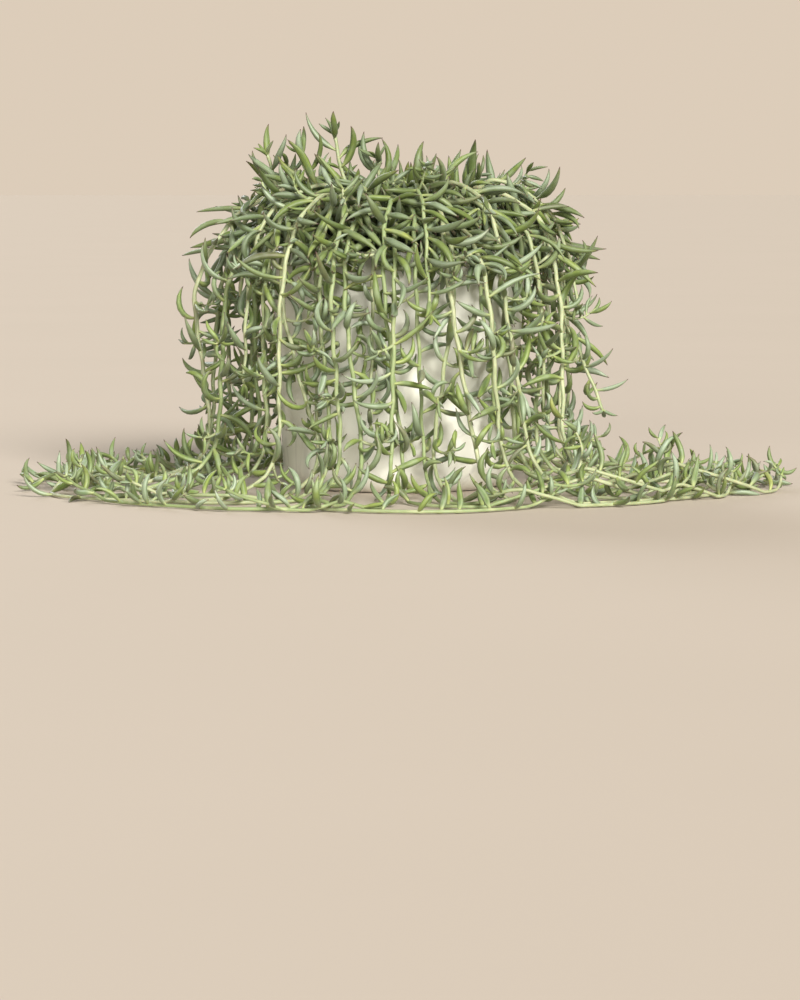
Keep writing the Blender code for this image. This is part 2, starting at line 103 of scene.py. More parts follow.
# Strands that stand well away from the rest: azimuth, hanging radius, outward lean and length.
WIDE_STRANDS = {
    23: (math.radians(184), 0.120, -0.006, 0.50),
    21: (math.radians(168), 0.108, 0.006, 0.38),
    0: (math.radians(-4), 0.092, 0.042, 0.215),
    44: (math.radians(-24), 0.102, 0.010, 0.42),
}
UP = np.array([0.0, 0.0, 1.0])
RIGHT = np.array([1.0, 0.0, 0.0])


# ---- The pot's outline ----
def pot_radius(height):
    """The pot's outside radius at a height, as if its bottom edge were sharp."""
    share = (height - POT_EDGE_ROUND) / (POT_HEIGHT - POT_EDGE_ROUND)
    return POT_FOOT_RADIUS + (POT_RIM_RADIUS - POT_FOOT_RADIUS) * np.clip(share, 0.0, 1.0)


def inner_radius(height):
    """The pot's inside radius, at heights above its rounded inner bottom edge."""
    return float(pot_radius(height)) - POT_WALL


SOIL_TOP = POT_HEIGHT - SOIL_BELOW_RIM
MOUTH_RADIUS = inner_radius(SOIL_TOP) - GAP


def soil_height(radius):
    return SOIL_TOP + SOIL_DOME * (1 - min(1.0, radius / MOUTH_RADIUS) ** 2)


def pot_gap(points, radii):
    """How far the nearest of some balls is from the pot and the soil; negative where one enters them."""
    reach = np.hypot(points[:, 0], points[:, 1])
    height = points[:, 2]
    above = height - radii - POT_HEIGHT
    beside = reach - radii - pot_radius(height)
    soil = SOIL_TOP + SOIL_DOME * (1 - np.minimum(1.0, reach / MOUTH_RADIUS) ** 2)
    within = np.minimum(MOUTH_RADIUS - reach - radii, height - radii - soil)
    return np.maximum(np.maximum(above, beside), within).min()


def is_clear(points, radii):
    """Whether some balls keep the gap to the pot, to the soil and to what the pot stands on."""
    return min(pot_gap(points, radii), (points[:, 2] - radii).min()) >= GAP


# ---- Curves ----
def polar(radius, azimuth, height):
    return np.array([radius * math.cos(azimuth), radius * math.sin(azimuth), height])


def evenly(points, count):
    """So many points, evenly spread along a line of points, from its first to its last."""
    places = np.concatenate([[0.0], np.cumsum(np.linalg.norm(np.diff(points, axis=0), axis=1))])
    wanted = np.linspace(0.0, places[-1], count)
    return np.column_stack([np.interp(wanted, places, points[:, k]) for k in range(3)])


def smooth_curve(waypoints, step):
    """Points every step along a centripetal Catmull-Rom curve through the waypoints."""
    w = np.array(waypoints)
    p = np.vstack([2 * w[0] - w[1], w, 2 * w[-1] - w[-2]])
    dense = []
    for a, b, c, d in zip(p, p[1:], p[2:], p[3:]):
        t1 = math.sqrt(np.linalg.norm(b - a))
        t2 = t1 + math.sqrt(np.linalg.norm(c - b))
        t3 = t2 + math.sqrt(np.linalg.norm(d - c))
        t = np.linspace(t1, t2, SPAN_POINTS)[:, None]
        ab = a * (t1 - t) / t1 + b * t / t1
        bc = b * (t2 - t) / (t2 - t1) + c * (t - t1) / (t2 - t1)
        cd = c * (t3 - t) / (t3 - t2) + d * (t - t2) / (t3 - t2)
        abc = ab * (t2 - t) / t2 + bc * t / t2
        bcd = bc * (t3 - t) / (t3 - t1) + cd * (t - t1) / (t3 - t1)
        dense.extend(abc * (t2 - t) / (t2 - t1) + bcd * (t - t1) / (t2 - t1))
    dense = np.array(dense)
    length = np.linalg.norm(np.diff(dense, axis=0), axis=1).sum()
    return evenly(dense, max(2, round(length / step) + 1))


def unit(vector):
    return vector / max(1e-12, np.linalg.norm(vector))


def rotated(vector, axis, angle):
    """The vector turned about a unit axis."""
    along = axis * np.dot(axis, vector) * (1 - math.cos(angle))
    return vector * math.cos(angle) + np.cross(axis, vector) * math.sin(angle) + along


def square_to(vector, axis):
    """The direction of a vector's part at right angles to a unit axis."""
    return unit(vector - np.dot(vector, axis) * axis)


def sideways(along):
    """A direction straight across a stem's, level unless the stem is upright."""
    side = np.cross(along, UP)
    return unit(side if np.linalg.norm(side) >= 0.3 else np.cross(along, RIGHT))


def nearest_turn(angle):
    """The same angle, between minus half a turn and half a turn."""
    return (angle + math.pi) % TURN - math.pi


def tangents(line):
    ahead = np.vstack([line[1:], line[-1:]])
    behind = np.vstack([line[:1], line[:-1]])
    return (ahead - behind) / np.linalg.norm(ahead - behind, axis=1)[:, None]


def simplified(line, tolerance):
    """The places of the fewest points that keep every other point within the tolerance of the chords."""
    kept = {0, len(line) - 1}
    spans = [(0, len(line) - 1)]
    while spans:
        first, last = spans.pop()
        if last - first < 2:
            continue
        chord = unit(line[last] - line[first])
        inside = line[first + 1 : last] - line[first]
        away = np.linalg.norm(inside - np.outer(inside @ chord, chord), axis=1)
        furthest = int(np.argmax(away))
        if away[furthest] > tolerance:
            middle = first + 1 + furthest
            kept.add(middle)
            spans += [(first, middle), (middle, last)]
    return sorted(kept)


# ---- Where things are already ----
class Balls:
    """The balls that stand for the stems and leaves placed so far, sorted into the cells of a grid."""

    CELL = 0.009

    def __init__(self):
        self.cells = {}

    def cell(self, point):
        return tuple(int(math.floor(x / self.CELL)) for x in point)

    def add(self, points, radii, owner):
        for (x, y, z), radius in zip(points.tolist(), radii.tolist()):
            self.cells.setdefault(self.cell((x, y, z)), []).append((x, y, z, radius, owner))

    def around(self, point):
        """The balls in the point's cell and in the cells next to it."""
        i, j, k = self.cell(point)
        for a in (i - 1, i, i + 1):
            for b in (j - 1, j, j + 1):
                for c in (k - 1, k, k + 1):
                    yield from self.cells.get((a, b, c), ())

    def room(self, points, radii, owner, enough):
        """The least gap to a ball of another owner. It stops looking once the gap is under enough."""
        least = 1.0
        for (x, y, z), radius in zip(points.tolist(), radii.tolist()):
            for u, v, w, other, whose in self.around((x, y, z)):
                if whose != owner:
                    apart = math.sqrt((x - u) ** 2 + (y - v) ** 2 + (z - w) ** 2)
                    least = min(least, apart - radius - other)
            if least < enough:
                return least
        return least


# ---- Strands ----
def stem_radii(count):
    """The stem's radius at each point of its centreline, thinner towards its tip."""
    share = np.linspace(0.0, 1.0, count)
    return STEM_RADIUS + (STEM_TIP_RADIUS - STEM_RADIUS) * share**1.5


def lying_line(start, heading, length, draw):
    """The plan of a strand along the surface: it leaves the pot outwards, then sweeps to one side."""
    aim = (0.0 if start[0] > draw.uniform(-0.03, 0.03) else math.pi) + draw.gauss(0.0, 0.6)
    sway, phase = draw.uniform(4.0, 15.0), draw.uniform(0.0, TURN)
    wave = TURN / draw.uniform(0.05, 0.12)
    room = draw.uniform(0.80, 1.0)
    x, y = start
    line = []
    for n in range(int(length / STEP)):
        edge = math.hypot(x / SPREAD_X, y / SPREAD_Y) / room
        wanted, pull = aim, 9.0
        if edge > 0.86:
            outward = math.atan2(y / SPREAD_Y**2, x / SPREAD_X**2)
            side = 1.0 if nearest_turn(heading - outward) >= 0 else -1.0
            wanted = outward + side * (math.pi / 2 + 2.5 * (edge - 0.93))
            pull = 34.0
        turn = pull * nearest_turn(wanted - heading) + sway * math.sin(wave * n * STEP + phase)
        heading += STEP * max(-30.0, min(30.0, turn))
        x += STEP * math.cos(heading)
        y += STEP * math.sin(heading)
        line.append((x, y))
    return line


def trailing_route(number, attempt):
    """The centreline of a trailing strand, from its root over the rim and out along the surface."""
    draw = random.Random(7919 * number + attempt)
    azimuth = TURN * (number + draw.uniform(-0.45, 0.45)) / TRAILING_STRANDS
    azimuth -= FRONT_SHARE * math.cos(azimuth)
    arch = draw.uniform(*ARCH)
    hang = POT_RIM_RADIUS + CURTAIN_GAP + CURTAIN_DEPTH * draw.random() ** 1.3
    lean = draw.uniform(-0.003, 0.009)
    length = draw.triangular(*LENGTHS)
    if number % 4 == 1:
        length = draw.uniform(*SHORT_LENGTHS)
    if number in WIDE_STRANDS:
        azimuth, hang, lean, length = WIDE_STRANDS[number]
        azimuth += draw.uniform(-0.05, 0.05)
        arch = 0.85 * ARCH[1]
    root = MOUTH_RADIUS * (0.84 - 0.62 * arch / ARCH[1] * draw.uniform(0.7, 1.0))
    twist = draw.uniform(-0.55, 0.55)
    drift = draw.gauss(0.0, 0.10)
    crest = POT_RIM_RADIUS * draw.uniform(0.55, 0.84)
    ground = STEM_RADIUS + GAP
    foot = polar(root, azimuth + twist, soil_height(root) + ROOT_CLEARANCE)
    line = smooth_curve(
        [
            foot,
            foot + 0.006 * UP,
            polar(0.5 * (root + crest), azimuth + 0.6 * twist, POT_HEIGHT + 0.55 * arch),
            polar(crest, azimuth + 0.2 * twist, POT_HEIGHT + arch),
            polar(0.6 * POT_RIM_RADIUS + 0.4 * hang, azimuth, POT_HEIGHT + 0.62 * arch),
            polar(hang, azimuth, POT_HEIGHT - 0.020),
            polar(hang + 0.5 * lean, azimuth + 0.5 * drift, 0.5 * POT_HEIGHT),
            polar(hang + lean, azimuth + drift, 1.3 * LANDING_BEND),
            polar(hang + lean + LANDING_BEND, azimuth + drift, ground),
        ],
        STEP,
    )
    line[:, 2] = np.maximum(line[:, 2], ground)
    spare = length - STEP * (len(line) - 1)
    if spare > STEP:
        outward = line[-1] - line[-4]
        heading = math.atan2(outward[1], outward[0])
        flat = lying_line((line[-1][0], line[-1][1]), heading, spare, draw)
        line = np.vstack([line, [(x, y, ground) for x, y in flat]])
    return line[: int(length / STEP)]


def laid_over(line, balls, number):
    """The strand with its lying part lifted, in long low humps, over the strands that lie under it."""
    lift = line[:, 2].copy()
    low = lift < ON_SURFACE
    for n in np.flatnonzero(low):
        x, y, _ = line[n]
        for u, v, w, _, whose in [*balls.around((x, y, 0.004)), *balls.around((x, y, 0.022))]:
            apart = math.hypot(x - u, y - v)
            if whose != number and w < LIFT_LIMIT and apart < STRAND_SPACING:
                lift[n] = max(lift[n], w + math.sqrt(STRAND_SPACING**2 - apart**2))
    fall = HUMP_SLOPE * STEP
    for n in range(1, len(lift)):
        if low[n - 1]:
            lift[n] = max(lift[n], lift[n - 1] - fall)
    for n in range(len(lift) - 2, -1, -1):
        if low[n]:
            lift[n] = max(lift[n], lift[n + 1] - fall)
    return np.column_stack([line[:, :2], lift])


def with_raised_tip(line):
    """A lying strand turns its growing tip up over its last stretch."""
    raised = line.copy()
    if raised[-1, 2] < LIFT_LIMIT:
        raised[-TIP_STEPS:, 2] += np.linspace(0.0, 1.0, TIP_STEPS) ** 2 * TIP_RISE
    return raised


def roomiest(routes, number, balls):
    """The first of the routes that is clear of the pot and of the strands so far, or the clearest one."""
    best, best_room = None, -math.inf
    for line in routes:
        room = pot_gap(line[3:], stem_radii(len(line))[3:]) - STEM_TOLERANCE
        if room > best_room:
            beads = np.full(len(line), 0.5 * STRAND_SPACING)
            room = min(room, balls.room(line, beads, number, min(0.0, best_room)))
        if room > best_room:
            best, best_room = line, room
        if best_room >= 0.0:
            break
    balls.add(best, np.full(len(best), 0.5 * STRAND_SPACING), number)
    return best


def trailing_strands(balls):
    strands = []
    for number in range(TRAILING_STRANDS):
        routes = (
            with_raised_tip(laid_over(trailing_route(number, attempt), balls, number))
            for attempt in range(TRIES)
        )
        strands.append(roomiest(routes, number, balls))
    return strands


def shoot_route(place, attempt):
    """The centreline of an upright shoot of the crown, from the soil to its tip."""
    draw = random.Random(104729 * (place + 1) + attempt)
    across, back, rise = SHOOT_TIPS[place]
    nudge = 0.004 + 0.00008 * attempt
    tip = np.array([across, back, POT_HEIGHT + rise])
    tip += [draw.uniform(-nudge, nudge), draw.uniform(-nudge, nudge), 0.0]
    root = min(0.55 * math.hypot(across, back) + 0.006, 0.75 * MOUTH_RADIUS) * draw.uniform(0.75, 1.15)
    foot = polar(root, math.atan2(back, across) + draw.uniform(-0.6, 0.6), 0.0)
    foot[2] = soil_height(root) + ROOT_CLEARANCE
    bow = np.array([draw.uniform(-0.008, 0.008), draw.uniform(-0.008, 0.008), 0.008])
    return smooth_curve([foot, foot + 0.006 * UP, 0.5 * (foot + tip) + bow, tip], STEP)


def shoot_strands(balls):
    strands = []
    for place in range(len(SHOOT_TIPS)):
        routes = (shoot_route(place, attempt) for attempt in range(TRIES))
        strands.append(roomiest(routes, TRAILING_STRANDS + place, balls))
    return strands


# ---- Leaves ----
def leaf_line(base, start, curl, length, bend, count):
    """Points along a leaf's middle. It sets out along start and bends towards curl."""
    share = (np.arange(count - 1) + 0.5) / (count - 1)
    turned = bend * share**LATE_BEND
    steps = np.outer(np.cos(turned), start) + np.outer(np.sin(turned), curl)
    return np.vstack([base, base + np.cumsum(steps, axis=0) * length / (count - 1)])


def leaf_radii(count, radius, stalk):
    """A leaf's radius along its middle: a thin stalk, a full blade and a fine point."""
    share = np.linspace(0.0, 1.0, count)
    blade = radius * np.clip(np.sin(math.pi * share**0.8), 0.0, 1.0) ** 0.7
    return np.maximum(blade, np.where(share < 0.5, stalk, 0.0) + 0.00012)


def leaf_shape(line, place, turn, draw):
    """The way a leaf grows from its stem: start and curl directions, length, thickness and bend."""
    along = tangents(line)[place]
    side = sideways(along)
    outward = rotated(side, along, turn)
    height = line[place][2]
    share = place / len(line)
    if height > POT_HEIGHT:
        start = unit(outward + 0.55 * along + 0.15 * UP)
        bend = draw.uniform(0.25, 1.5)
        length = LEAF_LENGTH * draw.uniform(0.78, 1.14)
    else:
        start = unit(outward + draw.uniform(-0.15, 0.35) * along)
        bend = draw.uniform(1.0, 2.7)
        length = LEAF_LENGTH * draw.uniform(0.62, 0.86)
    length *= 1.0 - 0.45 * max(0.0, share - 0.9) / 0.1
    curl = square_to(UP + draw.uniform(-0.5, 0.5) * side, start)
    radius = LEAF_RADIUS * (length / LEAF_LENGTH) ** 0.6 * draw.uniform(0.85, 1.05)
    return start, curl, length, radius, bend


def grow_leaf(line, place, turn, owner, stem_owner, balls, draw):
    """A leaf at a place on a strand, turned until it has room, or None."""
    stalk = STALK_SHARE * stem_radii(len(line))[place]
    for attempt in range(14):
        start, curl, length, radius, bend = leaf_shape(line, place, turn + 0.9 * attempt, draw)
        length *= 1.0 - SHORTENING * attempt
        chords = leaf_line(line[place], start, curl, length, bend, LEAF_POINTS)[LEAF_RINGS]
        points = evenly(chords, LEAF_BALLS)[1:]
        radii = leaf_radii(LEAF_BALLS, radius, stalk)[1:]
        if not is_clear(points, radii):
            continue
        if balls.room(points, radii, stem_owner, LEAF_MARGIN) < LEAF_MARGIN:
            continue
        if balls.room(points[3:], radii[3:], owner, LEAF_MARGIN) < LEAF_MARGIN:
            continue
        balls.add(points, radii, owner)
        return place, start, curl, length, radius, bend, stalk
    return None


def leaf_places(line, count):
    """Evenly spread places for leaves, from just above the soil to the strand's tip."""
    first = min(10, len(line) // 4)
    return [round(x) for x in np.linspace(first, len(line) - 2, count)]


def straightened(line):
    """A strand's centreline as its solid has it, in straight lengths, with as many points as before."""
    return evenly(line[simplified(line, STEM_TOLERANCE)], len(line))


def grow_leaves(strands, counts):
    """The leaves of every strand, kept clear of all the stems and of each other."""
    balls = Balls()
    lines = [straightened(line) for line in strands]
    for number, line in enumerate(lines):
        balls.add(line, stem_radii(len(line)), number)
    leaves = []
    for number, line in enumerate(lines):
        draw = random.Random(5 + 31 * number)
        turn = draw.uniform(0.0, TURN)
        grown = []
        for order, place in enumerate(leaf_places(line, counts[number])):
            turn += LEAF_TURN + draw.uniform(-0.4, 0.4)
            leaf = grow_leaf(line, place, turn, (number, order), number, balls, draw)
            if leaf is not None:
                grown.append(leaf)
        leaves.append(grown)
    return leaves


def strand_name(number):
    if number < TRAILING_STRANDS:
        return f"trailing_strand_{number + 1:02d}"
    return f"crown_shoot_{number - TRAILING_STRANDS + 1:02d}"


# ---- Dense foliage ----
SPACING = {"crown": 0.0052, "hanging": 0.0094, "lying": 0.0180}  # from leaf to leaf, along a strand
TIP_SPACING = 0.0034
TIP_STRETCH = 0.016  # the last stretch of a strand, with small crowded leaves
TOUCH = -0.0003  # leaves may press this far into each other
CROWN_LYING = 0.42  # the share of crown leaves that lie on the crown
CROWN_UPRIGHT = (0.28, 0.098)  # and of those that may stand, on its left and right
CROWN_BOTTOM = POT_HEIGHT - 0.004
CROWN_DEPTH = 0.034  # from the rim up to where leaves inside the crown get no more painted shade than those outside
DARK_EDGE = 0.016  # from the rim in to where the painted shade inside the crown is darkest
DARK_BELOW_RIM = 0.010  # down to where leaves get painted shade as in the crown
FISHHOOKS = 0.68  # the share of hanging leaves that curl upwards
SIDE_SHOOT_SPACING = 0.048
SIDE_SHOOT_LENGTHS = (0.010, 0.024)
SIDE_SHOOT_POINTS = 9
LOW = 0.016  # strands lower than this lie on the surface


class Crowd:
    """The balls of everything grown so far, for finding room for one more leaf."""

    REACH = 0.0030  # the largest ball

    def __init__(self, strands):
        self.places, self.sizes, self.owners = [], [], []
        self.fresh_places, self.fresh_sizes = [], []
        for number, line in enumerate(strands):
            self.add(line, stem_radii(len(line)), number)
        self.settle()

    def add(self, points, radii, owner):
        self.places.extend(points.tolist())
        self.sizes.extend(radii.tolist())
        self.owners.extend([owner] * len(points))

    def add_fresh(self, points, radii, owner):
        """Adds balls of the strand that is growing now."""
        self.add(points, radii, owner)
        self.fresh_places.append(points)
        self.fresh_sizes.append(radii)

    def settle(self):
        """Takes in all that was added. A strand settles once, when it has all its leaves."""
        self.tree = KDTree(len(self.places))
        for n, place in enumerate(self.places):
            self.tree.insert(place, n)
        self.tree.balance()
        self.fresh_places, self.fresh_sizes = [], []

    def room(self, points, radii, skipped, enough):
        """The least gap to any ball whose owner isn't skipped; it stops once that is under enough."""
        least = 1.0
        for point, radius in zip(points.tolist(), radii.tolist()):
            for _, n, apart in self.tree.find_range(point, radius + self.REACH):
                if self.owners[n] != skipped:
                    least = min(least, apart - radius - self.sizes[n])
            if least < enough:
                return least
        if self.fresh_places:
            others, sizes = np.vstack(self.fresh_places), np.concatenate(self.fresh_sizes)
            apart = np.linalg.norm(points[:, None] - others[None], axis=2) - radii[:, None] - sizes[None]
            least = min(least, float(apart.min()))
        return least


def zone_of(point):
    if point[2] > CROWN_BOTTOM:
        return "crown"
    return "lying" if point[2] < LOW else "hanging"


def leaf_spots(line, taken):
    """Places along a strand for its other leaves, closer together in the crown and at the tip."""
    spots, since = [], 0.0
    draw = random.Random(len(line) * 13 + len(taken))
    spacing = SPACING["crown"]
    for n in range(4, len(line) - 1):
        since += STEP
        left = (len(line) - 1 - n) * STEP
        if since >= spacing and all(abs(n - other) > 1 for other in taken):
            spots.append(n)
            since = 0.0
            spacing = SPACING[zone_of(line[n])] * draw.uniform(0.7, 1.3)
            if left < TIP_STRETCH:
                spacing = TIP_SPACING
    return spots


def wild_leaf(point, along, side, turn, youth, draw):
    """Start, curl, length, radius and bend of one of the other leaves. Youth shortens those at a tip."""
    outward = rotated(side, along, turn)
    zone = zone_of(point)
    loose = unit(np.array([draw.gauss(0.0, 1.0), draw.gauss(0.0, 1.0), draw.gauss(0.0, 1.0)]))
    if zone == "crown":
        start = outward + draw.uniform(0.0, 0.8) * along
        fate = draw.random()
        upright = CROWN_UPRIGHT[0] if point[0] < 0.0 else CROWN_UPRIGHT[1]
        if fate < CROWN_LYING:
            start[2] = 0.3 * start[2] - 0.1
        elif fate < 1.0 - upright:
            start[2] = -abs(start[2]) - 0.5
        curl = draw.choice((-1.1, -0.8, -0.3, 0.7)) * UP + 0.8 * loose
        bend = draw.uniform(0.15, 1.5)
        length = LEAF_LENGTH * draw.uniform(0.80, 1.22)
    elif zone == "hanging":
        height = point[2] / POT_HEIGHT
        start = outward + draw.uniform(-0.75, 0.85) * along
        curl = (UP if draw.random() < FISHHOOKS else draw.uniform(-1.0, 0.3) * UP) + 0.55 * loose
        bend = draw.uniform(0.3, 1.3) if draw.random() < 0.32 + 0.30 * height else draw.uniform(1.3, 3.0)
        length = LEAF_LENGTH * draw.uniform(0.68, 1.0) * (1.0 + 0.24 * height)
    else:
        start = outward + draw.uniform(-0.3, 0.7) * along
        start[2] *= 0.4 if draw.random() < 0.6 else 1.0
        curl = draw.uniform(-0.1, 1.0) * UP + 1.1 * loose
        bend = draw.uniform(0.3, 2.0)
        length = LEAF_LENGTH * draw.uniform(0.55, 0.85)
    start = unit(unit(start) + 1.1 * youth * along)
    curl = square_to(curl, start)
    length *= 1.0 - 0.62 * youth
    radius = LEAF_RADIUS * (length / LEAF_LENGTH) ** 0.5 * draw.uniform(0.68, 0.96)
    return start, curl, length, radius, bend * (1.0 - 0.5 * youth)


def place_leaf(base, along, turn, stalk, owner, crowd, draw, youth=0.0, size=1.0):
    """One of the other leaves, turned until it has room, or None."""
    side = sideways(along)
    for attempt in range(12):
        start, curl, length, radius, bend = wild_leaf(base, along, side, turn + 1.3 * attempt, youth, draw)
        length *= size * (1.0 - SHORTENING * attempt)
        radius *= size**0.5
        points = leaf_line(base, start, curl, length, bend, LEAF_BALLS)[1:]
        radii = leaf_radii(LEAF_BALLS, radius, stalk)[1:]
        if not is_clear(points, radii):
            continue
        if crowd.room(points[1:], radii[1:], owner, TOUCH) < TOUCH:
            continue
        if crowd.room(points[4:], radii[4:], None, TOUCH) < TOUCH:
            continue
        crowd.add_fresh(points[1:], radii[1:], (owner, "leaf"))
        return Leaf(base, start, curl, length, radius, bend, stalk, draw)
    return None


def leaf_shade(base, draw):
    """How far a leaf is darkened: in the crown a little by painted shade, and more deep inside it where
    shade falls; lower leaves only a little, at random.
    """
    above_rim = base[2] - POT_HEIGHT
    if above_rim < -DARK_BELOW_RIM:
        return draw.uniform(0.0, 0.14)
    depth = min(max(1.0 - above_rim / CROWN_DEPTH, 0.0), 1.0)
    inside = min(max((POT_RIM_RADIUS - math.hypot(base[0], base[1])) / DARK_EDGE, 0.0), 1.0)
    return draw.uniform(0.12, 0.46) + 0.52 * depth * inside


class Leaf:
    """What one leaf's mesh is made from."""

    def __init__(self, base, start, curl, length, radius, bend, stalk, draw):
        self.base, self.start, self.curl = np.array(base), np.array(start), np.array(curl)
        self.length, self.radius, self.bend, self.stalk = length, radius, bend, stalk
        self.tone = draw.random()
        self.shade = leaf_shade(base, draw)
        self.neck = draw.uniform(0.22, 0.36)
        self.fullness = draw.uniform(1.35, 2.3)
        self.sway = draw.uniform(-0.07, 0.07)
        self.phase = draw.uniform(0.0, TURN)


# What one stem's mesh is made from: its points and radii, the places where leaves grow from it, and
# whether it is rooted in the soil or is a side shoot.
Twig = namedtuple("Twig", "line radii nodes rooted")


def side_shoot(line, place, number, crowd, draw):
    """A short shoot from a strand's side with its own small leaves, or nothing where there's no room."""
    along = tangents(line[place - 1 : place + 2])[1]
    side = sideways(along)
    length = draw.uniform(*SIDE_SHOOT_LENGTHS)
    for _ in range(8):
        outward = rotated(side, along, draw.uniform(0.0, TURN))
        start = unit(outward + 0.7 * along)
        curl = square_to(UP, start)
        path = leaf_line(line[place], start, curl, length, draw.uniform(0.5, 1.4), SIDE_SHOOT_POINTS)
        radii = np.linspace(0.8, 0.5, SIDE_SHOOT_POINTS) * stem_radii(len(line))[place]
        if not is_clear(path[1:], radii[1:]):
            continue
        if crowd.room(path[2:], radii[2:] + 0.0004, number, 0.0) < 0.0:
            continue
        crowd.add_fresh(path[2:], radii[2:], (number, "twig"))
        leaves = []
        turn = draw.uniform(0.0, TURN)
        for n in range(3, SIDE_SHOOT_POINTS):
            turn += LEAF_TURN
            heading = unit(path[n] - path[n - 1])
            size = draw.uniform(0.5, 0.78)
            stalk, youth = STALK_SHARE * radii[n], 0.6 * n / 8
            leaves.append(
                place_leaf(path[n], heading, turn, stalk, (number, "twig"), crowd, draw, youth, size)
            )
        return Twig(path, radii, [], False), leaves
    return None, []


def grow_strand(line, number, cad_leaves, crowd):
    """A strand's stems and leaves: those of its CAD node, and all the others."""
    draw = random.Random(977 + 7 * number)
    radii = stem_radii(len(line))
    leaves, twigs = [], []
    for place, start, curl, length, radius, bend, stalk in cad_leaves:
        leaves.append(Leaf(line[place], start, curl, length, radius, bend, stalk, draw))
    taken = [leaf[0] for leaf in cad_leaves]
    spots = leaf_spots(line, taken)
    along = tangents(line)
    turn = draw.uniform(0.0, TURN)
    since = draw.uniform(0.0, SIDE_SHOOT_SPACING)
    stalks = STALK_SHARE * radii
    for before, place in zip([0, *spots], spots):
        turn += LEAF_TURN + draw.uniform(-0.5, 0.5)
        left = (len(line) - 1 - place) * STEP
        youth = max(0.0, 1.0 - left / TIP_STRETCH)
        base, way, stalk = line[place], along[place], stalks[place]
        leaves.append(place_leaf(base, way, turn, stalk, number, crowd, draw, youth))
        since += (place - before) * STEP
        if since > SIDE_SHOOT_SPACING and zone_of(line[place]) != "lying" and left > 0.02:
            twig, more = side_shoot(line, place, number, crowd, draw)
            since = 0.0
            if twig is not None:
                twigs.append(twig)
                leaves += more
    for n in range(3):
        turned = turn + 2.1 * n
        leaves.append(place_leaf(line[-1], along[-1], turned, stalks[-1], number, crowd, draw, 1.0))
    crowd.settle()
    main = Twig(line, radii, sorted(taken + spots), True)
    return [main, *twigs], [leaf for leaf in leaves if leaf is not None]


# ---- Meshes of stems and leaves ----
LEAF_SHARES = np.array([0.0, 0.06, 0.14, 0.24, 0.36, 0.50, 0.64, 0.77, 0.88, 0.955, 1.0])
LEAF_FINE = 48  # straight lengths that a leaf's middle line is worked out in
LEAF_SIDES = 8
STEM_SIDES = 8
STEM_STEP = 0.0024
SURFACE = 0.0001  # how low a stem or leaf may reach
STEM_WAVE = 0.00045  # how far stems stray from a straight hang
WAVES = (0.027, 0.034, 0.046)  # the lengths of those waves to the right, back and up


def add_object(name, data):
    made = bpy.data.objects.new(name, data)
    bpy.context.scene.collection.objects.link(made)
    return made


class Build:
    """Collects the vertices, faces and surface values of one piece."""

    def __init__(self):
        self.vertices, self.faces, self.values, self.uvs, self.kinds = [], [], [], [], []
        self.count = 0

    def loft(self, rings, values, along, kind):
        """Adds a closed tube through rings of points, with a value for each point."""
        count, sides = rings.shape[:2]
        grid = self.count + np.arange(count * sides).reshape(count, sides)
        following = np.roll(grid, -1, axis=1)
        quads = np.stack([grid[:-1], following[:-1], following[1:], grid[1:]], axis=-1).reshape(-1, 4)
        self.faces += quads.tolist()
        around = np.arange(sides) / sides
        u0, v0 = np.meshgrid(around, along[:-1])
        u1, v1 = np.meshgrid(around + 1 / sides, along[1:])
        self.uvs.append(np.stack([u0, v0, u1, v0, u1, v1, u0, v1], axis=-1).reshape(-1, 2))
        self.faces += [grid[0, ::-1].tolist(), grid[-1].tolist()]
        self.uvs.append(np.tile([0.5, float(along[0])], (sides, 1)))
        self.uvs.append(np.tile([0.5, float(along[-1])], (sides, 1)))
        self.vertices.append(rings.reshape(-1, 3))
        self.values.append(values.reshape(-1, 4))
        self.kinds += [kind] * (len(quads) + 2)
        self.count += count * sides

    def finish(self, name, materials):
        mesh = bpy.data.meshes.new(name)
        mesh.from_pydata(np.vstack(self.vertices).tolist(), [], self.faces)
        values = np.vstack(self.values)
        mesh.attributes.new("shade", "FLOAT", "POINT")
        mesh.attributes["shade"].data.foreach_set("value", values[:, 3].copy())
        values[:, 3] = 1.0
        mesh.attributes.new("growth", "FLOAT_COLOR", "POINT")
        mesh.attributes["growth"].data.foreach_set("color", values.ravel())
        mesh.uv_layers.new(name="UVMap")
        mesh.uv_layers["UVMap"].data.foreach_set("uv", np.vstack(self.uvs).ravel())
        for material in materials:
            mesh.materials.append(material)
        mesh.polygons.foreach_set("material_index", self.kinds)
        mesh.shade_smooth()
        return add_object(name, mesh)


